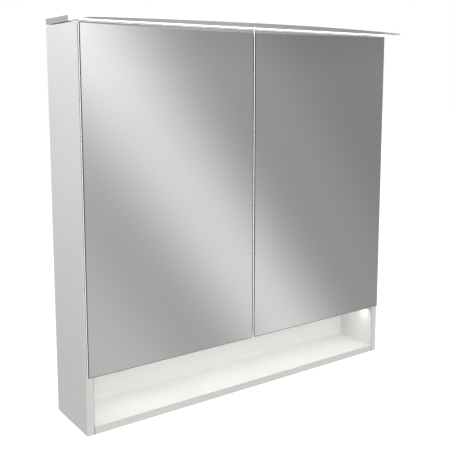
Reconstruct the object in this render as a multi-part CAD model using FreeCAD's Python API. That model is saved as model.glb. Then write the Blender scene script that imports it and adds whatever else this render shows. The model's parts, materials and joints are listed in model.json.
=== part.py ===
import FreeCAD, Part
import os

# Wall-hung bathroom cabinet: two mirror doors, an open niche below them and a light canopy on top.
# Millimetres. X runs along the wall and is 0 at mid-width, Y is 0 on the wall and negative towards
# the room. Everything is drawn with Z 0 at the underside of the cabinet, and write() lowers it all
# so that the origin lies midway between the wall rail's two screw holes.
#
# Hinges and doors are designed in a corner frame of the left side: U is measured inwards from the
# outer face of the side panel, V is measured back from the front edges of the carcass. The right
# side is the mirror image.

Vector = FreeCAD.Vector

# --- driving dimensions: carcass ---
WIDTH = 800.0
DEPTH = 145.0
HEIGHT = 794.0
PANEL = 16.0
NICHE_OPENING = 100.0
BACK_VOID = 31.0
BACK_PANEL = 4.0
GROOVE_DEPTH = 6.0
EDGE_RADIUS = 0.5

# --- driving dimensions: mirror doors ---
DOOR_GAP = 1.0
PANE = 2.5
DOOR_REVEAL = 2.6
DOOR_CENTRE_GAP = 3.0
DOOR_LAP = 3.0
DOOR_TOP_GAP = 1.0
PANE_BEVEL = 1.8

# --- driving dimensions: hinges, in the corner frame ---
PIVOT_ARM = (45.0, 5.0)
PIVOT_DOOR = (19.5, 6.0)
HINGE_PIN_RADIUS = 1.5
RUNNING_CLEARANCE = 0.05
ARM_EYE = 3.6
DOOR_EYE = 2.9
LINK_HALF = 6.0
EAR_INNER = 6.5
EAR_OUTER = 8.5
HINGE_LEVELS = {"lower": 200.0, "upper": 712.0}
WING_SCREW_SETBACK = 37.0
WING_SCREW_PITCH = 32.0
PLATE_THICKNESS = 2.0
ARM_FRONT = 24.0
ARM_BACK = 76.0
ARM_HEIGHT = 8.0

# --- driving dimensions: shelves ---
SHELF_LEVELS = {"lower": 340.0, "upper": 560.0}
SHELF_GLASS = 5.0
SHELF_FRONT = -132.0
SHELF_BACK = -40.0
SHELF_END_GAP = 2.0
SHELF_PIN_RADIUS = 2.5
SHELF_PIN_ROWS = (-118.0, -56.0)
SHELF_PITCH = 32.0

# --- driving dimensions: panel fittings ---
CAM_ROWS = (-120.0, -60.0)
DOWEL_ROW = -90.0
CAM_RADIUS = 7.4
CAM_DEPTH = 12.5
CAM_SETBACK = 24.0
CAM_BOLT_RADIUS = 3.2
CAM_BOLT_ANCHOR = 2.4
CAM_BOLT_BITE = 11.0
DOWEL_RADIUS = 4.0
DOWEL_LENGTH = 30.0
DOWEL_BITE = 10.0
FIT_GAP = 0.05

# --- driving dimensions: wall rail and hangers ---
RAIL_LENGTH = 760.0
RAIL_SHEET = 1.5
RAIL_FOOT = 716.0
RAIL_STEP = 752.0
RAIL_TOP = 770.0
RAIL_STANDOFF = 7.5
RAIL_HOLE_SPACING = 600.0
RAIL_HOLE_LEVEL = 733.0
RAIL_HOLE_RADIUS = 3.25
HANGER_WIDTH = 20.0
HOOK_WIDTH = 14.0
HOOK_SHEET = 2.5

# --- driving dimensions: light canopy ---
CANOPY_GAP = 2.0
CANOPY_THICK = 11.0
CANOPY_SHEET = 1.5
HOUSING_FRONT = -110.4
END_CAP = 2.0
TONGUE = 12.0
OVERHANG_ENDS = 55.0
OVERHANG_MIDDLE = 112.0
CORNER_ROUND = 12.0
DIFFUSER_FRONT = 28.0
DIFFUSER_BACK = 5.0
CANOPY_SCREWS = (-340.0, 0.0, 340.0)
CANOPY_SCREW_ROW = -55.0
CANOPY_SCREW_BITE = 13.0
CANOPY_LEAD_EXIT = (110.0, -20.0)

# --- driving dimensions: rows of light sources ---
LED_PITCH = 16.0
LED_HALF = 1.6
LED_HEIGHT = 0.8

# --- driving dimensions: electrics inside ---
DRIVER_SIZE = (160.0, 22.0, 50.0)
DRIVER_LEVEL = 640.0
DRIVER_EXIT = (80.0, -20.0)
DRIVER_TAB = 14.0
DRIVER_TAB_SHEET = 2.0
LEAD_RADIUS = 2.5
CANOPY_LEAD_BEND = 15.0
INNER_LEAD_BEND = 10.0
CANOPY_LEAD_LEVEL = 675.0
SWITCH_LEAD_LEVEL = 655.0
SWITCH_LEAD_X = 334.0
SWITCH_LEAD_TOP = 752.0
NICHE_LEAD_X = -30.0
GROMMET_RADIUS = 4.5
SWITCH_BOX = (76.0, 60.0, 36.0)
SWITCH_BOX_RIGHT = 372.0
SWITCH_WALL = 2.5
ROCKER_WIDTH = 19.6
ROCKER_RADIUS = 13.0
ROCKER_TILT = 8.0
ROCKER_PIN = 1.5
ROCKER_PLAY = 0.2
NICHE_LIGHT_FRONT = -128.0
NICHE_LIGHT_WIDTH = 16.0
NICHE_LIGHT_HEIGHT = 8.0
NICHE_LIGHT_SHEET = 1.2

# --- driving dimensions: small screws ---
SCREW_SHANK = 1.75
SCREW_HEAD = 3.2
SCREW_HEAD_HEIGHT = 1.6

# --- worked out from the driving dimensions ---
HALF = WIDTH / 2
INNER = HALF - PANEL
FRONT = -DEPTH
BACK_FACE = -BACK_VOID - BACK_PANEL
NICHE_TOP = PANEL + NICHE_OPENING
SHELF_TOP = NICHE_TOP + PANEL
TOP_UNDERSIDE = HEIGHT - PANEL
CANOPY_FOOT = HEIGHT + CANOPY_GAP
CANOPY_TOP = CANOPY_FOOT + CANOPY_THICK
CANOPY_FLOOR = CANOPY_FOOT + CANOPY_SHEET
NICHE_LEAD_LEVEL = NICHE_TOP - LEAD_RADIUS
GROMMETS = ((SWITCH_LEAD_X, SWITCH_LEAD_TOP), (NICHE_LEAD_X, NICHE_LEAD_LEVEL))


# --- small shape helpers ---

def block(x, y, z):
    """A box from three (low, high) pairs."""
    corner = Vector(min(x), min(y), min(z))
    return Part.makeBox(abs(x[1] - x[0]), abs(y[1] - y[0]), abs(z[1] - z[0]), corner)


def rod(radius, start, end):
    """A round bar between two points."""
    axis = Vector(*end) - Vector(*start)
    return Part.makeCylinder(radius, axis.Length, Vector(*start), axis)


def eased(shape, radius=EDGE_RADIUS):
    """The shape with every edge softened."""
    return shape.makeFillet(radius, shape.Edges)


def joined(shapes):
    """One solid from shapes that overlap or touch."""
    first, *rest = shapes
    return first.fuse(rest).removeSplitter()


def without(shape, tools):
    """The shape less every tool."""
    return shape.cut(Part.makeCompound(list(tools)))


def mirrored(shape):
    """The same shape on the other side of the cabinet."""
    return shape.mirror(Vector(0, 0, 0), Vector(1, 0, 0))


def both_sides(shapes):
    """The shapes of the left side, followed by their mirror images."""
    return list(shapes) + [mirrored(shape) for shape in shapes]


def prism(outline, z):
    """An upright prism from an outline of (x, y) points."""
    points = [Vector(px, py, min(z)) for px, py in outline]
    face = Part.Face(Part.makePolygon(points + points[:1]))
    return face.extrude(Vector(0, 0, abs(z[1] - z[0])))


def corner_point(u, v):
    """X and Y of a point of the left side's corner frame."""
    return (-HALF + u, FRONT + v)


def corner_block(u, v, z):
    """A box given in the left side's corner frame."""
    return block((-HALF + u[0], -HALF + u[1]), (FRONT + v[0], FRONT + v[1]), z)


def corner_prism(outline, z):
    """An upright prism given in the left side's corner frame."""
    return prism([corner_point(u, v) for u, v in outline], z)


def corner_rod(radius, pivot, z):
    """An upright round bar at a point of the left side's corner frame."""
    x, y = corner_point(*pivot)
    return rod(radius, (x, y, min(z)), (x, y, max(z)))


def around(middle, half):
    """The range of a part that is centred on a value."""
    return (middle - half, middle + half)


def edge_ends(edge):
    return [vertex.Point for vertex in edge.Vertexes]


def cross_recess(face, inwards, head_radius):
    """The cross slot of a screw's head, sunk inwards from a point on its face."""
    reach = 0.6 * head_radius
    half = 0.17 * head_radius
    depth = 1.0
    long_slot = Part.makeBox(2 * reach, 2 * half, depth, Vector(-reach, -half, 0))
    cross_slot = Part.makeBox(2 * half, 2 * reach, depth, Vector(-half, -reach, 0))
    turn = FreeCAD.Rotation(Vector(0, 0, 1), Vector(*inwards))
    recess = long_slot.fuse(cross_slot)
    recess.Placement = FreeCAD.Placement(Vector(*face), turn)
    return recess


def pan_screw(seat, inwards, length, shank=SCREW_SHANK, head=SCREW_HEAD, height=SCREW_HEAD_HEIGHT):
    """A pan-head screw. Its shank runs inwards from the seat, and its head stands on the seat."""
    seat = Vector(*seat)
    way = Vector(*inwards)
    face = seat - way * height
    body = joined([rod(shank, seat, seat + way * length), rod(head, face, seat)])
    return body.cut(cross_recess(face, inwards, head))


# --- panel fittings: places shared by the panels and the fittings ---

# Each joint is (level of the panel's mid-plane, direction in which its cam pockets open).
PANEL_JOINTS = (
    (PANEL / 2, -1),
    (NICHE_TOP + PANEL / 2, 1),
    (HEIGHT - PANEL / 2, 1),
)


def cam_bolt(level, row, gap=0.0):
    """The bolt of a cam fitting: thin in the side panel, thick in the end of the cross panel."""
    inner_end = -INNER + CAM_SETBACK
    anchor = rod(CAM_BOLT_ANCHOR + gap, (-INNER - CAM_BOLT_BITE, row, level), (-INNER, row, level))
    shank = rod(CAM_BOLT_RADIUS + gap, (-INNER, row, level), (inner_end, row, level))
    return joined([anchor, shank])


def cam_lock(level, opens, row, gap=0.0):
    """The round lock that grips a cam bolt, in a pocket open to one face of the cross panel."""
    centre = -INNER + CAM_SETBACK
    mouth = level + opens * PANEL / 2
    return rod(CAM_RADIUS + gap, (centre, row, mouth), (centre, row, mouth - opens * CAM_DEPTH))


def cam_lock_detailed(level, opens, row):
    """A cam lock with the bore for its bolt and a cross slot for the screwdriver."""
    mouth = level + opens * PANEL / 2
    centre = -INNER + CAM_SETBACK
    slot_depth = 2.0
    slot_z = (mouth - opens * slot_depth, mouth + opens)
    long_slot = block((centre - 4.0, centre + 4.0), (row - 0.7, row + 0.7), slot_z)
    cross_slot = block((centre - 0.7, centre + 0.7), (row - 4.0, row + 4.0), slot_z)
    bolt = cam_bolt(level, row, FIT_GAP)
    return without(cam_lock(level, opens, row), [long_slot, cross_slot, bolt])


def dowel(level, gap=0.0):
    """A wooden dowel between the side panel and the end of a cross panel."""
    start = -INNER - DOWEL_BITE
    return rod(DOWEL_RADIUS + gap, (start, DOWEL_ROW, level), (start + DOWEL_LENGTH, DOWEL_ROW, level))


def fitting_bores(levels):
    """The bores and pockets that the fittings of these joints need, on the left side."""
    bores = []
    for level, opens in levels:
        bores.append(dowel(level, FIT_GAP))
        for row in CAM_ROWS:
            bores.append(cam_bolt(level, row, FIT_GAP))
            bores.append(cam_lock(level, opens, row, FIT_GAP))
    return bores


# --- carcass panels ---

def back_groove():
    """The groove for the back panel, cut round the inside of the carcass."""
    reach = INNER + GROOVE_DEPTH
    z = (PANEL - GROOVE_DEPTH, TOP_UNDERSIDE + GROOVE_DEPTH)
    slack = 2 * FIT_GAP
    return block((-reach, reach), (BACK_FACE - slack, -BACK_VOID + slack), z)


def shelf_pin_bore(row, level):
    """A blind hole for a shelf pin in the left side panel."""
    z = level - SHELF_PIN_RADIUS
    return rod(SHELF_PIN_RADIUS + FIT_GAP, (-INNER - 9.0, row, z), (-INNER, row, z))


def shelf_pin_bores():
    """Three heights for each shelf, so that it can be moved up or down."""
    return [
        shelf_pin_bore(row, level + step * SHELF_PITCH)
        for level in SHELF_LEVELS.values()
        for row in SHELF_PIN_ROWS
        for step in (-1, 0, 1)
    ]


def side_panel_left():
    body = eased(block((-HALF, -INNER), (FRONT, 0), (0, HEIGHT)))
    tools = fitting_bores(PANEL_JOINTS) + shelf_pin_bores() + wing_screw_holes() + [back_groove()]
    return without(body, tools)


def cross_panel(foot, back, joint, extra=()):
    """A panel between the sides, with its fittings' bores at both ends."""
    body = eased(block((-INNER, INNER), (FRONT, back), (foot, foot + PANEL)))
    return without(body, both_sides(fitting_bores([joint])) + list(extra))


def bottom_panel():
    return cross_panel(0, 0, PANEL_JOINTS[0], [back_groove()])


def niche_shelf():
    return cross_panel(NICHE_TOP, BACK_FACE, PANEL_JOINTS[1])


def top_panel():
    lead_hole = rod(LEAD_RADIUS + 2.0, (*CANOPY_LEAD_EXIT, TOP_UNDERSIDE), (*CANOPY_LEAD_EXIT, HEIGHT))
    screw_holes = [canopy_screw_shank(x, FIT_GAP) for x in CANOPY_SCREWS]
    screw_holes += both_sides(switch_box_screws())
    return cross_panel(TOP_UNDERSIDE, 0, PANEL_JOINTS[2], [back_groove(), lead_hole] + screw_holes)


def back_panel():
    reach = INNER + GROOVE_DEPTH - 0.5
    z = (PANEL - GROOVE_DEPTH + 0.5, TOP_UNDERSIDE + GROOVE_DEPTH - 0.5)
    board = block((-reach, reach), (BACK_FACE, -BACK_VOID), z)
    holes = both_sides([rod(4.0, (x, BACK_FACE, z), (x, -BACK_VOID, z)) for x, z in hanger_screw_places()])
    holes += [grommet_bore(x, z) for x, z in GROMMETS]
    holes += [rod(1.75, (x, BACK_FACE, z), (x, -BACK_VOID, z)) for x, z in driver_screw_places()]
    return without(board, holes)


def fittings():
    """The dowels, cam bolts and cam locks of all six panel joints."""
    dowels = both_sides([dowel(level) for level, _ in PANEL_JOINTS])
    bolts = both_sides([cam_bolt(level, row) for level, _ in PANEL_JOINTS for row in CAM_ROWS])
    locks = both_sides(
        [cam_lock_detailed(level, opens, row) for level, opens in PANEL_JOINTS for row in CAM_ROWS]
    )
    return {"dowels": dowels, "cam_bolts": bolts, "cam_locks": locks}


# --- glass shelves ---

def glass_shelf(level):
    reach = INNER - SHELF_END_GAP
    return eased(block((-reach, reach), (SHELF_FRONT, SHELF_BACK), (level, level + SHELF_GLASS)), 0.8)


def shelf_pin(row, level):
    """A steel pin with a collar, which the glass rests on."""
    z = level - SHELF_PIN_RADIUS
    pin = rod(SHELF_PIN_RADIUS, (-INNER - 8.0, row, z), (-INNER + 8.0, row, z))
    collar = rod(SHELF_PIN_RADIUS + 1.8, (-INNER, row, z), (-INNER + 1.5, row, z))
    return joined([pin, collar])


def shelf_pins():
    pins = [shelf_pin(row, level) for level in SHELF_LEVELS.values() for row in SHELF_PIN_ROWS]
    return both_sides(pins)


# --- mirror doors ---

def pane(v, bevelled):
    """One pane of the left door. The panes are bonded back to back, mirror side outwards."""
    z = (NICHE_TOP + DOOR_LAP, HEIGHT - DOOR_TOP_GAP)
    glass = corner_block((DOOR_REVEAL, HALF - DOOR_CENTRE_GAP / 2), v, z)
    outer_face = min(v) if bevelled == "front" else max(v)
    edges = [e for e in glass.Edges if all(abs(p.y - FRONT - outer_face) < 0.01 for p in edge_ends(e))]
    return glass.makeChamfer(PANE_BEVEL, edges)


def mirror_front():
    return pane((-DOOR_GAP - 2 * PANE, -DOOR_GAP - PANE), "front")


def mirror_back():
    return pane((-DOOR_GAP - PANE, -DOOR_GAP), "back")


def door_bumpers():
    """Silicone dots on the carcass that the free edges of the doors close against."""
    levels = (NICHE_TOP + PANEL / 2, HEIGHT - PANEL / 2)
    dots = [rod(4.0, (-20.0, FRONT, z), (-20.0, FRONT - 0.8, z)) for z in levels]
    return both_sides(dots)


# --- hinges, all in the corner frame of the left side ---

def wing_screw_places():
    """Levels of the two wing screws of every hinge."""
    half = WING_SCREW_PITCH / 2
    return [z for level in HINGE_LEVELS.values() for z in around(level, half)]


def wing_screw_shape(level):
    """The countersunk outline of a wing screw, which is also the outline of its hole."""
    x, y = corner_point(PANEL + PLATE_THICKNESS, WING_SCREW_SETBACK)
    shank = rod(SCREW_SHANK, (x, y, level), (x - 12.0, y, level))
    head = Part.makeCone(SCREW_HEAD, SCREW_SHANK, 1.8, Vector(x, y, level), Vector(-1, 0, 0))
    return joined([shank, head])


def wing_screw(level):
    """A countersunk chipboard screw through the wing of a mounting plate."""
    x, y = corner_point(PANEL + PLATE_THICKNESS, WING_SCREW_SETBACK)
    return wing_screw_shape(level).cut(cross_recess((x, y, level), (-1, 0, 0), SCREW_HEAD))


def wing_screw_holes():
    return [wing_screw_shape(level) for level in wing_screw_places()]


def hinge_mounting_plate(level):
    """The cross-shaped plate that is screwed to the side panel."""
    u = (PANEL, PANEL + PLATE_THICKNESS)
    spine = corner_block(u, (ARM_FRONT, ARM_BACK), around(level, 9.0))
    wing = corner_block(u, (WING_SCREW_SETBACK - 7.0, WING_SCREW_SETBACK + 7.0), around(level, 22.0))
    holes = [wing_screw_shape(z) for z in around(level, WING_SCREW_PITCH / 2)]
    return without(joined([spine, wing]), holes)


def hinge_arm(level):
    """The arm on the mounting plate, whose two cheeks carry the fixed pivot."""
    u0 = PANEL + PLATE_THICKNESS
    body = corner_block((u0, u0 + ARM_HEIGHT), (ARM_FRONT, ARM_BACK), around(level, EAR_OUTER))
    au, av = PIVOT_ARM
    flank = [
        (u0, ARM_FRONT),
        (u0, ARM_FRONT + 20.0),
        (u0 + ARM_HEIGHT, ARM_FRONT + 20.0),
        (au + 3.3, av + 1.4),
        (au - 2.6, av - 2.4),
    ]
    cheeks = []
    for side in (-1, 1):
        z = (level + side * EAR_INNER, level + side * EAR_OUTER)
        cheeks.append(corner_prism(flank, z))
        cheeks.append(corner_rod(ARM_EYE, PIVOT_ARM, z))
    pin = corner_rod(HINGE_PIN_RADIUS, PIVOT_ARM, around(level, EAR_OUTER))
    screws, recesses = arm_adjusters(level)
    return without(joined([body] + screws + cheeks), [pin] + recesses)


def arm_adjusters(level):
    """The heads of the arm's two adjusting screws, and the cross recesses in them."""
    base = PANEL + PLATE_THICKNESS + ARM_HEIGHT
    heads = []
    recesses = []
    for setback in (ARM_BACK - 11.0, ARM_BACK - 27.0):
        x, y = corner_point(base, setback)
        heads.append(rod(3.6, (x, y, level), (x + 1.5, y, level)))
        recesses.append(cross_recess((x + 1.5, y, level), (-1, 0, 0), 3.6))
    return heads, recesses


def hinge_link(level):
    """The link between the arm's pivot and the door's pivot."""
    z = around(level, LINK_HALF)
    (au, av), (du, dv) = PIVOT_ARM, PIVOT_DOOR
    web = [(au, av - ARM_EYE), (au, av + ARM_EYE), (du, dv + DOOR_EYE), (du, dv - DOOR_EYE)]
    shapes = [corner_rod(ARM_EYE, PIVOT_ARM, z), corner_rod(DOOR_EYE, PIVOT_DOOR, z), corner_prism(web, z)]
    bore = HINGE_PIN_RADIUS + RUNNING_CLEARANCE
    bores = [corner_rod(bore, pivot, z) for pivot in (PIVOT_ARM, PIVOT_DOOR)]
    return without(joined(shapes), bores)


def hinge_door_plate(level):
    """The plate bonded to the back of the door, whose two ears carry the door's pivot."""
    foot = corner_block((PANEL + 1.0, 38.0), (-DOOR_GAP, 1.0), around(level, 16.0))
    du, dv = PIVOT_DOOR
    ear = [(du - DOOR_EYE, 0.0), (du + 10.0, 0.0), (du + 2.3, dv + 1.5), (du - DOOR_EYE, dv)]
    shapes = [foot]
    for side in (-1, 1):
        z = (level + side * EAR_INNER, level + side * EAR_OUTER)
        shapes.append(corner_prism(ear, z))
        shapes.append(corner_rod(DOOR_EYE, PIVOT_DOOR, z))
    pin = corner_rod(HINGE_PIN_RADIUS, PIVOT_DOOR, around(level, EAR_OUTER))
    return joined(shapes).cut(pin)


def hinge_pins(pivot):
    """The left side's pins at one of the two pivots, one for each hinge."""
    return [
        corner_rod(HINGE_PIN_RADIUS, pivot, around(level, EAR_OUTER))
        for level in HINGE_LEVELS.values()
    ]


def hinges():
    levels = HINGE_LEVELS.values()
    nodes = {
        "hinge_mounting_plates": both_sides([hinge_mounting_plate(level) for level in levels]),
        "hinge_arm_pins": both_sides(hinge_pins(PIVOT_ARM)),
        "hinge_door_pins_left": hinge_pins(PIVOT_DOOR),
        "hinge_door_pins_right": [mirrored(pin) for pin in hinge_pins(PIVOT_DOOR)],
    }
    makers = {"hinge_arm": hinge_arm, "hinge_link": hinge_link, "hinge_door_plate": hinge_door_plate}
    for part, maker in makers.items():
        for place, level in HINGE_LEVELS.items():
            shape = maker(level)
            nodes[part + "_left_" + place] = [shape]
            nodes[part + "_right_" + place] = [mirrored(shape)]
    return nodes


# --- wall rail and hangers, in the void behind the back panel ---

def wall_rail():
    """The steel rail that is screwed to the wall. The hooks hang on its raised lip."""
    x = (-RAIL_LENGTH / 2, RAIL_LENGTH / 2)
    flange = block(x, (-RAIL_SHEET, 0), (RAIL_FOOT, RAIL_STEP))
    step = block(x, (-RAIL_STANDOFF, 0), (RAIL_STEP - RAIL_SHEET, RAIL_STEP))
    lip = block(x, (-RAIL_STANDOFF, -RAIL_STANDOFF + RAIL_SHEET), (RAIL_STEP - RAIL_SHEET, RAIL_TOP))
    holes = [
        rod(RAIL_HOLE_RADIUS, (side * RAIL_HOLE_SPACING / 2, 0, RAIL_HOLE_LEVEL),
            (side * RAIL_HOLE_SPACING / 2, -RAIL_SHEET, RAIL_HOLE_LEVEL))
        for side in (-1, 1)
    ]
    return without(joined([flange, step, lip]), holes)


def hanger_x():
    return (-INNER, -INNER + HANGER_WIDTH)


def hanger_housing_y():
    """From just behind the back panel to the front of the hook."""
    return (-BACK_VOID + 1.0, -RAIL_STANDOFF - 4.5 - HOOK_SHEET)


def hanger_screw_places():
    """X and Z of the two adjusting screws of the left hanger."""
    x = -INNER + HANGER_WIDTH / 2
    return [(x, RAIL_TOP - 30.0), (x, RAIL_TOP - 8.0)]


def hanger_screw(x, z):
    """A drive screw, its head reached through a hole in the back panel."""
    front, back = hanger_housing_y()
    head = rod(3.5, (x, front, z), (x, front + 2.5, z))
    shank = rod(2.0, (x, front, z), (x, back, z))
    slot = block((x - 3.5, x + 3.5), (front - 1.0, front + 1.0), around(z, 0.5))
    return joined([head, shank]).cut(slot)


def hanger_left():
    y = hanger_housing_y()
    body = block(hanger_x(), y, (RAIL_TOP - 44.0, RAIL_TOP + 6.0))
    upright = [e for e in body.Edges if abs(e.Vertexes[0].Z - e.Vertexes[1].Z) > 1.0]
    body = body.makeFillet(1.5, upright)
    tools = []
    for x, z in hanger_screw_places():
        tools.append(rod(3.6, (x, y[0], z), (x, y[0] + 2.5, z)))
        tools.append(rod(2.0, (x, y[0], z), (x, y[1], z)))
    return without(body, tools)


def hanger_hook_left():
    """The bent steel hook: up the back of the housing, over the rail's lip and down behind it."""
    x = (-RAIL_LENGTH / 2, -RAIL_LENGTH / 2 + HOOK_WIDTH)
    front = hanger_housing_y()[1]
    tip = -RAIL_SHEET - 1.0
    plate = block(x, (front, front + HOOK_SHEET), (RAIL_TOP - 34.0, RAIL_TOP + HOOK_SHEET))
    bridge = block(x, (front, tip), (RAIL_TOP, RAIL_TOP + HOOK_SHEET))
    tongue = block(x, (tip - HOOK_SHEET, tip), (RAIL_STEP + 6.0, RAIL_TOP + HOOK_SHEET))
    return joined([plate, bridge, tongue])


# --- light canopy ---

def canopy_screw_shank(x, gap=0.0):
    tip = (x, CANOPY_SCREW_ROW, HEIGHT - CANOPY_SCREW_BITE)
    return rod(2.0 + gap, tip, (x, CANOPY_SCREW_ROW, CANOPY_FLOOR))


def light_screws():
    """Pan-head screws that hold the housing down on the top panel."""
    length = CANOPY_FLOOR - HEIGHT + CANOPY_SCREW_BITE
    return [
        pan_screw((x, CANOPY_SCREW_ROW, CANOPY_FLOOR), (0, 0, -1), length, 2.0, 4.0, 2.4)
        for x in CANOPY_SCREWS
    ]


def light_spacers():
    """Washers that keep the canopy clear of the top panel."""
    washers = []
    for x in CANOPY_SCREWS:
        washer = rod(7.0, (x, CANOPY_SCREW_ROW, HEIGHT), (x, CANOPY_SCREW_ROW, CANOPY_FOOT))
        washers.append(washer.cut(canopy_screw_shank(x, 0.2)))
    return washers


def light_housing():
    """The aluminium channel along the back, open towards the light plate."""
    x = (-HALF + END_CAP, HALF - END_CAP)
    outer = block(x, (HOUSING_FRONT, 0), (CANOPY_FOOT, CANOPY_TOP))
    hollow_z = (CANOPY_FLOOR, CANOPY_TOP - CANOPY_SHEET)
    hollow = block(x, (HOUSING_FRONT, -CANOPY_SHEET), hollow_z)
    screw_holes = [canopy_screw_shank(sx, 0.2) for sx in CANOPY_SCREWS]
    exit_x, exit_y = CANOPY_LEAD_EXIT
    lead_hole = rod(LEAD_RADIUS + 1.0, (exit_x, exit_y, CANOPY_FOOT), (exit_x, exit_y, CANOPY_FLOOR))
    return without(outer, [hollow, lead_hole] + screw_holes)


def light_end_cap_left():
    cap = block((-HALF, -HALF + END_CAP), (HOUSING_FRONT, 0), (CANOPY_FOOT, CANOPY_TOP))
    return eased(cap, 0.4)


def canopy_outline(back):
    """The canopy's plan from a straight back edge to the bowed front."""
    ends = FRONT - OVERHANG_ENDS
    left, right = Vector(-HALF, ends, 0), Vector(HALF, ends, 0)
    bow = Part.Arc(left, Vector(0, FRONT - OVERHANG_MIDDLE, 0), right).toShape()
    sides = [
        Part.makeLine(right, Vector(HALF, back, 0)),
        Part.makeLine(Vector(HALF, back, 0), Vector(-HALF, back, 0)),
        Part.makeLine(Vector(-HALF, back, 0), left),
    ]
    return Part.Wire([bow] + sides)


def canopy_slab(back, z):
    """A slab of the canopy's plan with rounded front corners."""
    slab = Part.Face(canopy_outline(back)).extrude(Vector(0, 0, z[1] - z[0]))
    slab.translate(Vector(0, 0, z[0]))
    ends = FRONT - OVERHANG_ENDS
    corners = [e for e in slab.Edges if all(abs(p.y - ends) < 0.01 for p in edge_ends(e))]
    upright = [e for e in corners if abs(e.Vertexes[0].Z - e.Vertexes[-1].Z) > 0.5]
    return slab.makeFillet(CORNER_ROUND, upright)


def light_plate():
    """The acrylic light guide, bowed at the front, with a thinner tongue inside the housing."""
    slab = canopy_slab(HOUSING_FRONT, (CANOPY_FLOOR, CANOPY_TOP))
    x = (-HALF + END_CAP, HALF - END_CAP)
    tongue_z = (CANOPY_FLOOR, CANOPY_TOP - CANOPY_SHEET)
    tongue = block(x, (HOUSING_FRONT, HOUSING_FRONT + TONGUE), tongue_z)
    return joined([slab, tongue])


def light_underplate():
    """The aluminium sheet under the front of the light guide."""
    return canopy_slab(FRONT - DIFFUSER_FRONT, (CANOPY_FOOT, CANOPY_FLOOR))


def light_diffuser():
    """The opal strip that throws light down past the mirrors."""
    y = (FRONT - DIFFUSER_FRONT, FRONT - DIFFUSER_BACK)
    return block((-HALF + 3.0, HALF - 3.0), y, (CANOPY_FOOT, CANOPY_FLOOR))


def led_row(reach):
    """The X ranges of a centred row of light sources, on a board that reaches this far each way."""
    count = int(2 * (reach - LED_PITCH) / LED_PITCH)
    start = -(count - 1) * LED_PITCH / 2
    return [around(start + i * LED_PITCH, LED_HALF) for i in range(count)]


def light_led_strip():
    """A circuit board on edge behind the tongue, with a row of light sources facing it."""
    y = HOUSING_FRONT + TONGUE + 1.0
    z = (CANOPY_FLOOR, CANOPY_TOP - CANOPY_SHEET)
    reach = HALF - END_CAP - 6.0
    board = block((-reach, reach), (y, y + 1.6), z)
    middle = around(sum(z) / 2, LED_HALF)
    chips = [block(x, (y - LED_HEIGHT, y), middle) for x in led_row(reach)]
    return joined([board] + chips)


# --- driver, leads and switch ---

def led_driver():
    """The slim power supply, fixed to the rear of the back panel."""
    length, depth, height = DRIVER_SIZE
    y = (-BACK_VOID, -BACK_VOID + depth)
    z = (DRIVER_LEVEL, DRIVER_LEVEL + height)
    case = block((-length / 2, length / 2), y, z)
    rounded = [e for e in case.Edges if abs(e.Vertexes[0].Y - e.Vertexes[1].Y) > 1.0]
    case = case.makeFillet(4.0, rounded)
    tab_reach = length / 2 + DRIVER_TAB
    tab_y = (-BACK_VOID, -BACK_VOID + DRIVER_TAB_SHEET)
    tabs = block((-tab_reach, tab_reach), tab_y, around(driver_screw_level(), 6.0))
    holes = [rod(SCREW_SHANK, (x, tab_y[0], z), (x, tab_y[1], z)) for x, z in driver_screw_places()]
    return without(joined([case, tabs]), holes)


def driver_screw_level():
    return DRIVER_LEVEL + 10.0


def driver_screw_places():
    x = DRIVER_SIZE[0] / 2 + DRIVER_TAB - 6.0
    return [(-x, driver_screw_level()), (x, driver_screw_level())]


def driver_screws():
    """Short screws through the driver's tabs into the back panel."""
    y = -BACK_VOID + DRIVER_TAB_SHEET
    length = y - BACK_FACE
    return [pan_screw((x, y, z), (0, -1, 0), length) for x, z in driver_screw_places()]


def mains_gland():
    """The gland on the driver's left end where the supply cable enters."""
    x = -DRIVER_SIZE[0] / 2
    y, z = DRIVER_EXIT[1], CANOPY_LEAD_LEVEL
    nut = rod(6.0, (x, y, z), (x - 6.0, y, z))
    boot = Part.makeCone(5.0, 3.6, 14.0, Vector(x - 6.0, y, z), Vector(-1, 0, 0))
    bore = rod(2.6, (x - 2.0, y, z), (x - 21.0, y, z))
    return joined([nut, boot]).cut(bore)


def tube_path(points, bend):
    """Straight runs through the points, with a round bend of the same radius at each turn."""
    corners = [Vector(*p) for p in points]
    edges = []
    start = corners[0]
    for before, here, after in zip(corners, corners[1:], corners[2:]):
        arrive = (here - before).normalize()
        leave = (after - here).normalize()
        first = here - arrive * bend
        last = here + leave * bend
        centre = here - arrive * bend + leave * bend
        middle = centre + (here - centre).normalize() * bend
        edges.append(Part.makeLine(start, first))
        edges.append(Part.Arc(first, middle, last).toShape())
        start = last
    edges.append(Part.makeLine(start, corners[-1]))
    return Part.Wire(edges)


def lead(points, bend):
    """A round lead along right-angled runs."""
    path = tube_path(points, bend)
    start = Vector(*points[0])
    direction = (Vector(*points[1]) - start).normalize()
    ring = Part.Wire([Part.makeCircle(LEAD_RADIUS, start, direction)])
    return path.makePipeShell([ring], True, False)


def canopy_lead():
    x, y = CANOPY_LEAD_EXIT
    points = [
        (DRIVER_EXIT[0], y, CANOPY_LEAD_LEVEL),
        (x, y, CANOPY_LEAD_LEVEL),
        (x, y, CANOPY_FOOT + 4.0),
    ]
    return lead(points, CANOPY_LEAD_BEND)


def switch_lead():
    y = DRIVER_EXIT[1]
    points = [
        (DRIVER_EXIT[0], y, SWITCH_LEAD_LEVEL),
        (SWITCH_LEAD_X, y, SWITCH_LEAD_LEVEL),
        (SWITCH_LEAD_X, y, SWITCH_LEAD_TOP),
        (SWITCH_LEAD_X, BACK_FACE - 8.0, SWITCH_LEAD_TOP),
    ]
    return lead(points, INNER_LEAD_BEND)


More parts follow.
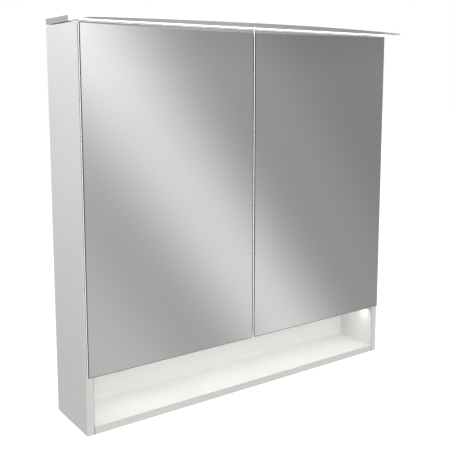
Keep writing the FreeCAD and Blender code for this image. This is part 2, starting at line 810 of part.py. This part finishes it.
def niche_lead():
    y = DRIVER_EXIT[1]
    points = [
        (NICHE_LEAD_X, y, DRIVER_LEVEL),
        (NICHE_LEAD_X, y, NICHE_LEAD_LEVEL),
        (NICHE_LEAD_X, NICHE_LIGHT_FRONT + NICHE_LIGHT_WIDTH, NICHE_LEAD_LEVEL),
    ]
    return lead(points, INNER_LEAD_BEND)


def grommet_bore(x, z):
    return rod(GROMMET_RADIUS, (x, BACK_FACE, z), (x, -BACK_VOID, z))


def lead_grommets():
    """Rubber sleeves where the leads pass through the back panel and the top panel."""
    sleeves = []
    for x, z in GROMMETS:
        ring = grommet_bore(x, z)
        ring = ring.cut(rod(LEAD_RADIUS, (x, BACK_FACE, z), (x, -BACK_VOID, z)))
        sleeves.append(ring)
    x, y = CANOPY_LEAD_EXIT
    sleeve = rod(GROMMET_RADIUS, (x, y, TOP_UNDERSIDE), (x, y, HEIGHT))
    sleeves.append(sleeve.cut(rod(LEAD_RADIUS, (x, y, TOP_UNDERSIDE), (x, y, HEIGHT))))
    return sleeves


def switch_box_x():
    return (SWITCH_BOX_RIGHT - SWITCH_BOX[0], SWITCH_BOX_RIGHT)


def switch_box_screws():
    """Screws up through the switch box into the top panel, given on the left side."""
    x = -sum(switch_box_x()) / 2
    z = TOP_UNDERSIDE - SWITCH_WALL
    row = BACK_FACE - SWITCH_BOX[1] / 2
    return [pan_screw((sx, row, z), (0, 0, 1), 13.0) for sx in around(x, 13.0)]


def rocker_pivot():
    """Y and Z of the rocker's axis."""
    return (BACK_FACE - SWITCH_BOX[1] + 4.0, TOP_UNDERSIDE - SWITCH_BOX[2] / 2)


def switch_box():
    """The housing below the top panel, with a collar that carries the rocker."""
    x = switch_box_x()
    y = (BACK_FACE - SWITCH_BOX[1], BACK_FACE)
    z = (TOP_UNDERSIDE - SWITCH_BOX[2], TOP_UNDERSIDE)
    outer = block(x, y, z)
    fronts = [e for e in outer.Edges if all(p.z < z[1] - 1 and p.y < y[1] - 1 for p in edge_ends(e))]
    outer = outer.makeFillet(1.5, fronts)
    inner = block(
        (x[0] + SWITCH_WALL, x[1] - SWITCH_WALL),
        (y[0] + SWITCH_WALL, y[1]),
        (z[0] + SWITCH_WALL, z[1] - SWITCH_WALL),
    )
    middle = sum(x) / 2
    pivot_y, pivot_z = rocker_pivot()
    window_x = around(middle, ROCKER_WIDTH / 2 + ROCKER_PLAY)
    window_z = around(pivot_z, ROCKER_RADIUS + ROCKER_PLAY)
    wall = 3.0
    collar_x = (window_x[0] - wall, window_x[1] + wall)
    collar = block(collar_x, (y[0] + 0.5, y[0] + 9.0), (window_z[0] - 1.0, window_z[1] + 1.0))
    window = block(window_x, (y[0] - 1.0, y[0] + 10.0), window_z)
    pin = rocker_pin(ROCKER_PIN + RUNNING_CLEARANCE, ROCKER_WIDTH / 2 + 2.6)
    screw_holes = [mirrored(screw) for screw in switch_box_screws()]
    return without(joined([outer.cut(inner), collar]), [window, pin] + screw_holes)


def rocker_pin(radius, reach):
    """A bar on the rocker's axis, which reaches this far each way."""
    middle = sum(switch_box_x()) / 2
    y, z = rocker_pivot()
    return rod(radius, (middle - reach, y, z), (middle + reach, y, z))


def rocker_switch():
    """The two-position rocker, drawn level and then tilted to its lower stop."""
    middle = sum(switch_box_x()) / 2
    pivot_y, pivot_z = rocker_pivot()
    reach = ROCKER_RADIUS
    outline = [(-7.5, reach), (-5.3, 0.0), (-7.5, -reach), (1.0, -reach), (1.0, reach)]
    points = [Vector(middle - ROCKER_WIDTH / 2, pivot_y + dy, pivot_z + dz) for dy, dz in outline]
    key = Part.Face(Part.makePolygon(points + points[:1])).extrude(Vector(ROCKER_WIDTH, 0, 0))
    sweep = rocker_pin(reach, ROCKER_WIDTH)
    pins = rocker_pin(ROCKER_PIN, ROCKER_WIDTH / 2 + 2.4)
    rocker = joined([key.common(sweep), pins])
    rocker.rotate(Vector(middle, pivot_y, pivot_z), Vector(1, 0, 0), -ROCKER_TILT)
    return rocker


# --- niche light, under the fixed shelf ---

def niche_light_y():
    return (NICHE_LIGHT_FRONT, NICHE_LIGHT_FRONT + NICHE_LIGHT_WIDTH)


def niche_light_channel():
    """An aluminium channel under the niche's ceiling, open downwards."""
    x = (-INNER + 1.0, INNER - 1.0)
    y = niche_light_y()
    z = (NICHE_TOP - NICHE_LIGHT_HEIGHT, NICHE_TOP)
    outer = block(x, y, z)
    wall = NICHE_LIGHT_SHEET
    hollow = block(x, (y[0] + wall, y[1] - wall), (z[0], z[1] - wall))
    port_start = (NICHE_LEAD_X, y[1] - 2 * wall, NICHE_LEAD_LEVEL)
    port = rod(LEAD_RADIUS, port_start, (NICHE_LEAD_X, y[1], NICHE_LEAD_LEVEL))
    return without(outer, [hollow, port])


def niche_light_diffuser():
    y = niche_light_y()
    y = (y[0] + NICHE_LIGHT_SHEET, y[1] - NICHE_LIGHT_SHEET)
    low = NICHE_TOP - NICHE_LIGHT_HEIGHT
    return block((-INNER + 1.0, INNER - 1.0), y, (low, low + 1.5))


def niche_led_strip():
    """The circuit board of the niche light, with a row of light sources facing down."""
    reach = INNER - 10.0
    middle = sum(niche_light_y()) / 2
    z = NICHE_TOP - NICHE_LIGHT_SHEET
    board = block((-reach, reach), around(middle, 4.0), (z - 1.0, z))
    chip_z = (z - 1.0 - LED_HEIGHT, z - 1.0)
    chips = [block(x, around(middle, LED_HALF), chip_z) for x in led_row(reach)]
    return joined([board] + chips)


# --- the whole cabinet ---

def panel_screws():
    """All the small chipboard screws: hinge plates, driver and switch box."""
    screws = both_sides([wing_screw(level) for level in wing_screw_places()])
    screws += driver_screws()
    screws += [mirrored(screw) for screw in switch_box_screws()]
    return screws


def pairs(name, shape):
    """A left-hand part and its mirror image, as two nodes."""
    return {name + "_left": [shape], name + "_right": [mirrored(shape)]}


def cabinet():
    nodes = {
        "top_panel": [top_panel()],
        "niche_shelf": [niche_shelf()],
        "bottom_panel": [bottom_panel()],
        "back_panel": [back_panel()],
        "shelf_pins": shelf_pins(),
        "door_bumpers": door_bumpers(),
        "wall_rail": [wall_rail()],
        "hanger_screws": both_sides([hanger_screw(x, z) for x, z in hanger_screw_places()]),
        "panel_screws": panel_screws(),
        "light_housing": [light_housing()],
        "light_plate": [light_plate()],
        "light_underplate": [light_underplate()],
        "light_diffuser": [light_diffuser()],
        "light_led_strip": [light_led_strip()],
        "light_spacers": light_spacers(),
        "light_screws": light_screws(),
        "led_driver": [led_driver()],
        "mains_gland": [mains_gland()],
        "canopy_lead": [canopy_lead()],
        "switch_lead": [switch_lead()],
        "niche_lead": [niche_lead()],
        "lead_grommets": lead_grommets(),
        "switch_box": [switch_box()],
        "rocker_switch": [rocker_switch()],
        "niche_light_channel": [niche_light_channel()],
        "niche_light_diffuser": [niche_light_diffuser()],
        "niche_led_strip": [niche_led_strip()],
    }
    nodes.update(fittings())
    nodes.update(hinges())
    nodes.update(pairs("side_panel", side_panel_left()))
    nodes.update(pairs("mirror_front", mirror_front()))
    nodes.update(pairs("mirror_back", mirror_back()))
    nodes.update(pairs("hanger", hanger_left()))
    nodes.update(pairs("hanger_hook", hanger_hook_left()))
    nodes.update(pairs("light_end_cap", light_end_cap_left()))
    for place, level in SHELF_LEVELS.items():
        nodes["glass_shelf_" + place] = [glass_shelf(level)]
    return nodes


def write(nodes):
    """One STEP file per node, moved so that the origin is the middle of the wall screws."""
    os.makedirs("parts", exist_ok=True)
    for name, shapes in sorted(nodes.items()):
        solids = [solid for shape in shapes for solid in shape.Solids]
        shape = solids[0] if len(solids) == 1 else Part.makeCompound(solids)
        shape.translate(Vector(0, 0, -RAIL_HOLE_LEVEL))
        shape.exportStep(os.path.join("parts", name + ".step"))
        print(name, len(solids), "solids", "valid" if shape.isValid() else "NOT VALID")
    print(len(nodes), "nodes")


write(cabinet())
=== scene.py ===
"""Looks of the bathroom mirror cabinet: materials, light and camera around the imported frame.

Metres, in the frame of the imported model: X along the wall, the doors face -Y, Z up. The origin lies
on the wall, midway between the two screw holes of the wall rail.
"""

import json
import math

import bpy
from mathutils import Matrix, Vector


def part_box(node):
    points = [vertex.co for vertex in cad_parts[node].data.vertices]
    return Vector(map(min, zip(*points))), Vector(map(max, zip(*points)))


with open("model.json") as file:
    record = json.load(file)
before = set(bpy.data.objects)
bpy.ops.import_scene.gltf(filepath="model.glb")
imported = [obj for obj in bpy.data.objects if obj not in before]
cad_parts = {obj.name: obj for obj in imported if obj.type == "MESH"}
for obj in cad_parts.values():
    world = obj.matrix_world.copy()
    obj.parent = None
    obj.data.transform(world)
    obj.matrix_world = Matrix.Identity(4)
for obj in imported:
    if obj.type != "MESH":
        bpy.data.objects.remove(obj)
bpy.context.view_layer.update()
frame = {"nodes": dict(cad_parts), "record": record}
NODES = frame["nodes"]

MM = 0.001

# --- places read from the frame ---
SIDE_LOW, SIDE_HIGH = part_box("side_panel_left")
SIDE_INNER = -SIDE_HIGH.x
CARCASS_FRONT = SIDE_LOW.y
PANE_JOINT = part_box("mirror_front_left")[1].y

# --- sizes that only the materials show ---
LED_PITCH = 16.0 * MM
BAND_THICKNESS = 1.0 * MM

# Half widths of the fine lines.
BAND_SEAM = 0.07 * MM
JOINT_LINE = 0.8 * MM
BOND_LINE = 0.12 * MM

# --- camera, fitted by a program to the cabinet's corners and edges in the photograph, shift held ---
CAMERA_PLACE = (-0.9422, -1.3827, -0.0484)
CAMERA_YAW = 35.25
CAMERA_PITCH = -7.68
CAMERA_LENS = 57.18
CAMERA_SHIFT = -0.105

# --- studio ---
FLOOR_DROP = 0.95
FLOOR_SIZE = 60.0
FLOOR_GREY = (0.5, 0.5, 0.5, 1.0)
FLOOR_GLOW = 0.9
AMBIENT = (0.55, 0.555, 0.55, 1.0)
BACKGROUND = (1.0, 1.0, 1.0, 1.0)

# The square soft lights: the place, the point aimed at, the width, and the power in watts.
SIDE_LIGHT = ((-1.0, -0.12, 0.55), (-0.4, -0.07, 0.05), 0.35, 4.0)
FRONT_LIGHT = ((-0.4, -3.0, 1.2), (0.0, -0.15, -0.3), 2.0, 37.0)

# The soft boxes that polished surfaces show, as (angle, width, brightness) in degrees. The angle turns
# about an axis that leans BOX_LEAN degrees out of the horizontal, and is 0 straight out from the wall.
# BOX_LEAN, BOX_BASE and the rows at 6.7, 21.6 and 32.0 were fitted by a program to the brightness of the
# streaks in the photograph. The other rows light directions that it doesn't show.
BOX_LEAN = 37.0
BOX_BASE = 0.23
SOFT_BOXES = (
    (-180.0, 45.0, 0.60),
    (-66.0, 9.0, 0.62),
    (-46.0, 7.0, 0.25),
    (-15.0, 6.0, 0.36),
    (6.7, 8.0, 0.275),
    (21.6, 5.1, 0.465),
    (32.0, 3.7, 0.067),
    (60.0, 12.0, 0.30),
    (180.0, 45.0, 0.60),
)

# Directions that point upward by the second number or more get this share of the soft boxes.
DIM_RISE = (0.01, 0.10)
DIM_SHARE = 0.78

# A glow that lights one corner of the reflection: its direction, the degrees over which it fades,
# and its brightness.
GLOW_AT = (0.42, -1.0, 0.11)
GLOW_WIDTH = 5.0
GLOW_BRIGHTNESS = 0.60

# --- light that the object gives off, and the painted glow of the mirror edges, as emission strength ---
CANOPY_GLOW = 2.2
NICHE_GLOW = 7.2
RIPPLE = 0.08
# Painted glow: emission on the mirror panes' ground edges, which are no lamp.
PAINTED_EDGE_GLOW = 1.60
GUIDE_GLOW = 0.22
GUIDE_DOT_GLOW = 0.18
GUIDE_EDGE_GLOW = 0.12

# --- colours, linear ---
BOARD_WHITE = (0.80, 0.805, 0.785, 1.0)
BOARD_SHADE = (0.775, 0.78, 0.76, 1.0)
SEAM_GREY = (0.42, 0.42, 0.40, 1.0)
JOINT_GREY = (0.24, 0.24, 0.23, 1.0)
SILVER = (0.885, 0.895, 0.89, 1.0)
BEVEL_DARK = (0.055, 0.065, 0.06, 1.0)
BOND_DARK = (0.12, 0.15, 0.14, 1.0)
WHITE_LIGHT = (1.0, 1.0, 1.0, 1.0)
CANOPY_LIGHT = (1.0, 0.99, 0.97, 1.0)
NICHE_LIGHT = (1.0, 0.94, 0.92, 1.0)
# Colour of the painted glow on the mirror panes' ground edges.
PAINTED_EDGE_LIGHT = (0.96, 1.0, 0.98, 1.0)


# --- shader helpers ---

class Graph:
    """A node tree with one call per node. A socket given as an input's value is linked to it."""

    def __init__(self, tree):
        self.nodes = tree.nodes
        self.links = tree.links

    def feed(self, socket, value):
        if isinstance(value, bpy.types.NodeSocket):
            self.links.new(value, socket)
        else:
            socket.default_value = value

    def add(self, kind, inputs, output=0, **settings):
        node = self.nodes.new(kind)
        for key, value in settings.items():
            setattr(node, key, value)
        for key, value in inputs.items():
            self.feed(node.inputs[key], value)
        return node.outputs[output]

    def place(self):
        """The point on the piece, in metres, which stays on the piece when it moves."""
        return self.add("ShaderNodeTexCoord", {}, "Object")

    def facing(self):
        """X, Y and Z of the direction that the surface faces, in the piece's own frame."""
        return self.parts(self.add("ShaderNodeTexCoord", {}, "Normal"))

    def parts(self, vector):
        split = self.nodes.new("ShaderNodeSeparateXYZ")
        self.links.new(vector, split.inputs[0])
        return split.outputs

    def math(self, operation, *values):
        return self.add("ShaderNodeMath", dict(enumerate(values)), operation=operation)

    def stretched(self, scale):
        """The point on the piece, with each axis multiplied."""
        return self.add(
            "ShaderNodeVectorMath", {0: self.place(), 1: scale}, operation="MULTIPLY"
        )

    def noise(self, scale, detail=2.0, vector=None):
        where = self.place() if vector is None else vector
        return self.add("ShaderNodeTexNoise", {"Vector": where, "Scale": scale, "Detail": detail}, "Fac")

    def cells(self, scale, output="Distance"):
        return self.add("ShaderNodeTexVoronoi", {"Vector": self.place(), "Scale": scale}, output)

    def span(self, value, low, high, to_low=0.0, to_high=1.0):
        """A value mapped from one range to another, and held at its ends."""
        inputs = {0: value, 1: low, 2: high, 3: to_low, 4: to_high}
        return self.add("ShaderNodeMapRange", inputs)

    def mix(self, share, first, second):
        """A colour between two colours."""
        inputs = {"Factor": share, "A": first, "B": second}
        node = self.nodes.new("ShaderNodeMix")
        node.data_type = "RGBA"
        for key, value in inputs.items():
            sockets = [s for s in node.inputs if s.name == key and s.enabled]
            self.feed(sockets[0], value)
        return next(s for s in node.outputs if s.enabled)

    def near(self, value, target, reach):
        """1 where the value is within reach of the target, and 0 elsewhere."""
        return self.add("ShaderNodeMath", {0: value, 1: target, 2: reach}, operation="COMPARE")

    def bump(self, height, distance, strength=1.0):
        return self.add("ShaderNodeBump", {"Height": height, "Distance": distance, "Strength": strength})


def material(name, **inputs):
    """A new Principled material and its graph. Underscores in the inputs' names stand for spaces."""
    made = bpy.data.materials.new(name)
    made.use_nodes = True
    graph = Graph(made.node_tree)
    finish(graph, **inputs)
    return made, graph


def finish(graph, **inputs):
    """Sets or links inputs of the graph's Principled shader."""
    shader = graph.nodes["Principled BSDF"]
    names = {socket.name.replace(" ", "_").lower(): socket for socket in shader.inputs}
    for key, value in inputs.items():
        graph.feed(names[key], value)


# --- materials: boards ---

def banded_seam(graph):
    """1 on the fine glue line behind the edge band of the carcass fronts."""
    y = graph.parts(graph.place())[1]
    return graph.near(y, CARCASS_FRONT + BAND_THICKNESS, BAND_SEAM)


def butt_joint(graph):
    """1 on the fine shadow line where the cross panels' front edges meet the side panels."""
    across = graph.math("ABSOLUTE", graph.parts(graph.place())[0])
    line = graph.near(across, SIDE_INNER, JOINT_LINE)
    front = graph.span(graph.facing()[1], -0.7, -0.4, 1.0, 0.0)
    return graph.math("MULTIPLY", line, front)


def white_board():
    made, graph = material("white_board", specular_ior_level=0.35)
    cloud = graph.noise(5.0, 3.0)
    tint = graph.mix(graph.span(cloud, 0.35, 0.65), BOARD_SHADE, BOARD_WHITE)
    pearl = graph.noise(1300.0, 2.0)
    tint = graph.mix(banded_seam(graph), tint, SEAM_GREY)
    finish(
        graph,
        base_color=graph.mix(butt_joint(graph), tint, JOINT_GREY),
        roughness=graph.span(pearl, 0.3, 0.7, 0.42, 0.56),
        normal=graph.bump(pearl, 0.03 * MM, 0.6),
    )
    return made


def back_board():
    """White in front and raw fibreboard behind."""
    made, graph = material("back_board", specular_ior_level=0.3)
    fibres = graph.noise(1.0, 6.0, graph.stretched((420.0, 900.0, 260.0)))
    raw = graph.mix(graph.span(fibres, 0.3, 0.7), (0.33, 0.20, 0.11, 1.0), (0.46, 0.31, 0.19, 1.0))
    rear = graph.span(graph.facing()[1], 0.4, 0.6)
    finish(
        graph,
        base_color=graph.mix(rear, BOARD_WHITE, raw),
        roughness=graph.span(rear, 0.0, 1.0, 0.5, 0.85),
        normal=graph.bump(fibres, 0.05 * MM, 0.5),
    )
    return made


def dowel_wood():
    made, graph = material("dowel_wood", roughness=0.7)
    grain = graph.noise(1.0, 4.0, graph.stretched((60.0, 1800.0, 1800.0)))
    tint = graph.mix(graph.span(grain, 0.3, 0.7), (0.42, 0.25, 0.12, 1.0), (0.60, 0.41, 0.22, 1.0))
    finish(graph, base_color=tint, normal=graph.bump(grain, 0.1 * MM, 0.6))
    return made


# --- materials: glass ---

def mirror():
    """Silvered panes with dark bevels. The ground edges get a painted glow, an emission that makes them
    look lit.
    """
    made, graph = material("mirror")
    across = graph.math("ABSOLUTE", graph.facing()[1])
    edge = graph.span(across, 0.3, 0.5, 1.0, 0.0)
    silvered = graph.span(across, 0.85, 0.95)
    bond = graph.near(graph.parts(graph.place())[1], PANE_JOINT, BOND_LINE)
    ground = graph.noise(1.0, 3.0, graph.stretched((2500.0, 2500.0, 400.0)))
    rim = graph.mix(ground, (0.68, 0.74, 0.71, 1.0), (0.80, 0.85, 0.83, 1.0))
    rim = graph.mix(bond, rim, BOND_DARK)
    tint = graph.mix(silvered, BEVEL_DARK, SILVER)
    wipe = graph.noise(1.0, 4.0, graph.stretched((9.0, 9.0, 3.0)))
    polish = graph.span(wipe, 0.3, 0.8, 0.004, 0.03)
    finish(
        graph,
        base_color=graph.mix(edge, tint, rim),
        metallic=silvered,
        roughness=graph.span(edge, 0.0, 1.0, polish, 0.3),
        # Painted glow: emission brightens the ground edges as if light fell on them.
        emission_color=PAINTED_EDGE_LIGHT,
        emission_strength=graph.math("MULTIPLY", edge, PAINTED_EDGE_GLOW),
    )
    return made


def shelf_glass():
    """Clear float glass, green where light runs along it to the polished edges."""
    made, graph = material("shelf_glass", transmission_weight=1.0, ior=1.52)
    up = graph.math("ABSOLUTE", graph.facing()[2])
    edge = graph.span(up, 0.4, 0.9, 1.0, 0.0)
    smear = graph.noise(14.0, 4.0)
    finish(
        graph,
        base_color=graph.mix(edge, (0.94, 0.985, 0.965, 1.0), (0.16, 0.52, 0.40, 1.0)),
        roughness=graph.span(smear, 0.4, 0.8, 0.01, 0.06),
    )
    return made


def light_acrylic():
    """The lit light guide: bright cut edges and a printed dot pattern across its faces."""
    made, graph = material("light_acrylic", roughness=0.12, specular_ior_level=0.5)
    up = graph.math("ABSOLUTE", graph.facing()[2])
    face = graph.span(up, 0.5, 0.9)
    dots = graph.span(graph.cells(520.0), 0.22, 0.34, 1.0, 0.0)
    glow = graph.math("MULTIPLY_ADD", dots, GUIDE_DOT_GLOW, GUIDE_GLOW)
    cut_edge = graph.math("SUBTRACT", 1.0, face)
    strength = graph.math("MULTIPLY_ADD", cut_edge, GUIDE_EDGE_GLOW, glow)
    finish(
        graph,
        base_color=graph.mix(dots, (0.80, 0.84, 0.85, 1.0), (0.90, 0.91, 0.91, 1.0)),
        emission_color=WHITE_LIGHT,
        emission_strength=strength,
    )
    return made


def opal(name="opal", glow=CANOPY_GLOW, light=CANOPY_LIGHT):
    """Lit opal plastic, a little brighter in front of each light source."""
    made, graph = material(name, base_color=(0.9, 0.9, 0.88, 1.0), roughness=0.45)
    x = graph.parts(graph.place())[0]
    wave = graph.math("COSINE", graph.math("MULTIPLY", x, 2 * math.pi / LED_PITCH))
    strength = graph.span(wave, -1.0, 1.0, (1 - RIPPLE) * glow, (1 + RIPPLE) * glow)
    finish(graph, emission_color=light, emission_strength=strength)
    return made


# --- materials: metals ---

def metal(name, colour, rough, grain, depth):
    """A plated or cast metal: colour, lowest and highest roughness, and the grain's scale and depth."""
    made, graph = material(name, metallic=1.0)
    fine = graph.noise(grain, 4.0)
    broad = graph.noise(40.0, 2.0)
    darker = tuple(0.86 * c for c in colour)
    tint = graph.mix(graph.span(broad, 0.35, 0.65), (*darker, 1.0), (*colour, 1.0))
    finish(
        graph,
        base_color=tint,
        roughness=graph.span(fine, 0.3, 0.7, *rough),
        normal=graph.bump(fine, depth, 0.5),
    )
    return made


def zinc():
    """Zinc-plated steel with the faint crystal pattern of the coating."""
    made, graph = material("zinc", metallic=1.0)
    crystals = graph.cells(220.0, output="Color")
    shade = graph.parts(crystals)[0]
    tint = graph.mix(shade, (0.50, 0.52, 0.54, 1.0), (0.68, 0.70, 0.71, 1.0))
    scratches = graph.noise(1.0, 3.0, graph.stretched((60.0, 1500.0, 1500.0)))
    finish(
        graph,
        base_color=tint,
        roughness=graph.span(shade, 0.0, 1.0, 0.26, 0.42),
        normal=graph.bump(scratches, 0.02 * MM, 0.4),
    )
    return made


def aluminium(name="aluminium", shade=0.75):
    """Satin anodised extrusion and sheet, brushed along the cabinet's width."""
    made, graph = material(name, metallic=1.0)
    brushed = graph.noise(1.0, 4.0, graph.stretched((7.0, 2600.0, 2600.0)))
    dark = (shade - 0.05, shade - 0.045, shade - 0.04, 1.0)
    light = (shade + 0.05, shade + 0.055, shade + 0.06, 1.0)
    tint = graph.mix(graph.span(brushed, 0.3, 0.7), dark, light)
    finish(
        graph,
        base_color=tint,
        roughness=graph.span(brushed, 0.3, 0.7, 0.28, 0.40),
        normal=graph.bump(brushed, 0.01 * MM, 0.5),
    )
    return made


# --- materials: plastics and rubber ---

def moulded(name, colour, rough=0.45, grain=2200.0, depth=0.03 * MM, **inputs):
    """A moulded plastic or rubber with a fine spark-eroded grain."""
    made, graph = material(name, **inputs)
    fine = graph.noise(grain, 2.0)
    flow = graph.noise(18.0, 2.0)
    darker = tuple(0.94 * c for c in colour)
    finish(
        graph,
        base_color=graph.mix(graph.span(flow, 0.3, 0.7), (*darker, 1.0), (*colour, 1.0)),
        roughness=graph.span(fine, 0.3, 0.7, rough - 0.06, rough + 0.06),
        normal=graph.bump(fine, depth, 0.6),
    )
    return made


def circuit_board():
    """White solder mask with a copper track, and yellow light sources in a row."""
    made, graph = material("circuit_board")
    x = graph.parts(graph.place())[0]
    spot = graph.math("PINGPONG", x, LED_PITCH / 2)
    source = graph.span(spot, 1.55 * MM, 1.75 * MM, 1.0, 0.0)
    pad = graph.span(spot, 2.3 * MM, 2.6 * MM, 1.0, 0.0)
    grain = graph.noise(900.0, 2.0)
    tint = graph.mix(pad, (0.85, 0.86, 0.84, 1.0), (0.62, 0.61, 0.56, 1.0))
    tint = graph.mix(source, tint, (0.85, 0.66, 0.16, 1.0))
    finish(graph, base_color=tint, roughness=0.4, normal=graph.bump(grain, 0.02 * MM, 0.3))
    return made


FINISHES = {
    "white_board": white_board,
    "back_board": back_board,
    "dowel_wood": dowel_wood,
    "mirror": mirror,
    "shelf_glass": shelf_glass,
    "nickel": lambda: metal("nickel", (0.66, 0.64, 0.60), (0.16, 0.30), 700.0, 0.01 * MM),
    "zinc": zinc,
    "cast_zinc": lambda: metal("cast_zinc", (0.52, 0.52, 0.51), (0.35, 0.55), 1500.0, 0.05 * MM),
    "aluminium": aluminium,
    "light_acrylic": light_acrylic,
    "opal": opal,
    "circuit_board": circuit_board,
    "white_plastic": lambda: moulded("white_plastic", (0.80, 0.80, 0.78)),
    "grey_plastic": lambda: moulded("grey_plastic", (0.30, 0.31, 0.32)),
    "silicone": lambda: moulded("silicone", (0.78, 0.80, 0.80), 0.35, transmission_weight=0.5),
    "cable_sheath": lambda: moulded("cable_sheath", (0.78, 0.78, 0.77), 0.38, 600.0),
    "black_rubber": lambda: moulded("black_rubber", (0.025, 0.025, 0.026), 0.6, 1200.0),
}


def dress_frame():
    """Gives every node the material of its slot. The niche diffuser gets its own brighter lamp, and the
    underplate a lighter copy of the aluminium as painted light.
    """
    made = {name: maker() for name, maker in FINISHES.items()}
    for part in frame["record"]["subparts"]:
        node = NODES[part["node"]]
        for place in node.material_slots:
            place.material = made[part["material_slot"]]
    own = {
        "niche_light_diffuser": opal("opal_niche", NICHE_GLOW, NICHE_LIGHT),
        # Painted light: a lighter copy of the aluminium stands in for the light that falls on the
        # underplate.
        "light_underplate": aluminium("aluminium_bright", 0.92),
    }
    for name, look in own.items():
        NODES[name].material_slots[0].material = look


# --- studio ---

def add_floor():
    """A pale floor well below the wall-hung cabinet, which neither lights nor shades it."""
    mesh = bpy.data.meshes.new("floor")
    half = FLOOR_SIZE / 2
    z = SIDE_LOW.z - FLOOR_DROP
    corners = [(-half, -half, z), (half, -half, z), (half, half, z), (-half, half, z)]
    mesh.from_pydata(corners, [], [(0, 1, 2, 3)])
    floor = bpy.data.objects.new("floor", mesh)
    bpy.context.scene.collection.objects.link(floor)
    made, _ = material(
        "floor_white",
        base_color=FLOOR_GREY,
        roughness=1.0,
        emission_color=WHITE_LIGHT,
        emission_strength=FLOOR_GLOW,
    )
    mesh.materials.append(made)
    floor.visible_diffuse = False
    floor.visible_glossy = False
    floor.visible_shadow = False


def bell(graph, value, centre, width, height):
    """The height at the centre, falling off to both sides over the width."""
    offset = graph.math("DIVIDE", graph.math("SUBTRACT", value, centre), width)
    square = graph.math("MULTIPLY", offset, offset)
    share = graph.math("EXPONENT", graph.math("MULTIPLY", square, -1.0))
    return graph.math("MULTIPLY", share, height)


def add_soft_boxes(graph, direction):
    """The brightness of the soft boxes and of the round glow in each direction."""
    lean = math.radians(BOX_LEAN)
    along = graph.math("MULTIPLY", direction[0], math.cos(lean))
    along = graph.math("MULTIPLY_ADD", direction[2], math.sin(lean), along)
    outward = graph.math("MULTIPLY", direction[1], -1.0)
    angle = graph.math("DEGREES", graph.math("ARCTAN2", along, outward))
    total = BOX_BASE
    for centre, width, brightness in SOFT_BOXES:
        total = graph.math("ADD", bell(graph, angle, centre, width, brightness), total)
    dim = graph.span(direction[2], *DIM_RISE, 1.0, DIM_SHARE)
    total = graph.math("MULTIPLY", total, dim)
    aim = Vector(GLOW_AT).normalized()
    cosine = 0.0
    for part, share in zip(direction, aim):
        cosine = graph.math("MULTIPLY_ADD", part, share, cosine)
    away = graph.math("DEGREES", graph.math("ARCCOSINE", cosine))
    fade = graph.math("EXPONENT", graph.math("DIVIDE", away, -GLOW_WIDTH))
    return graph.math("MULTIPLY_ADD", fade, GLOW_BRIGHTNESS, total)


def add_world():
    """The camera sees white, also through glass. Reflections see the soft boxes, and other rays
    an even studio."""
    world = bpy.data.worlds.new("studio")
    bpy.context.scene.world = world
    world.use_nodes = True
    world.cycles.sampling_method = "NONE"
    graph = Graph(world.node_tree)
    path = graph.nodes.new("ShaderNodeLightPath").outputs
    direction = graph.parts(graph.add("ShaderNodeTexCoord", {}, "Generated"))
    boxes = add_soft_boxes(graph, direction)
    ambient = graph.mix(path["Is Glossy Ray"], AMBIENT, boxes)
    seen = graph.math("MAXIMUM", path["Is Camera Ray"], path["Is Transmission Ray"])
    colour = graph.mix(seen, ambient, BACKGROUND)
    graph.feed(graph.nodes["Background"].inputs["Color"], colour)


def add_soft_light(name, place, target, size, power):
    """A square soft light aimed at a point. Neither reflections nor the camera show it."""
    light = bpy.data.lights.new(name, "AREA")
    light.shape = "SQUARE"
    light.size = size
    light.energy = power
    lamp = bpy.data.objects.new(name, light)
    bpy.context.scene.collection.objects.link(lamp)
    lamp.location = place
    lamp.rotation_euler = (Vector(target) - Vector(place)).to_track_quat("-Z", "Y").to_euler()
    lamp.visible_glossy = False
    lamp.visible_camera = False


def add_camera():
    """The camera of the photograph, turned to the right by its yaw and down by its pitch."""
    data = bpy.data.cameras.new("camera")
    data.lens = CAMERA_LENS
    data.shift_y = CAMERA_SHIFT
    camera = bpy.data.objects.new("camera", data)
    bpy.context.scene.collection.objects.link(camera)
    camera.location = CAMERA_PLACE
    camera.rotation_euler = (math.radians(90.0 + CAMERA_PITCH), 0.0, -math.radians(CAMERA_YAW))
    bpy.context.scene.camera = camera


add_camera()
add_world()
add_floor()
add_soft_light("side_light", *SIDE_LIGHT)
add_soft_light("front_light", *FRONT_LIGHT)
dress_frame()
bpy.context.scene.view_settings.view_transform = "Standard"
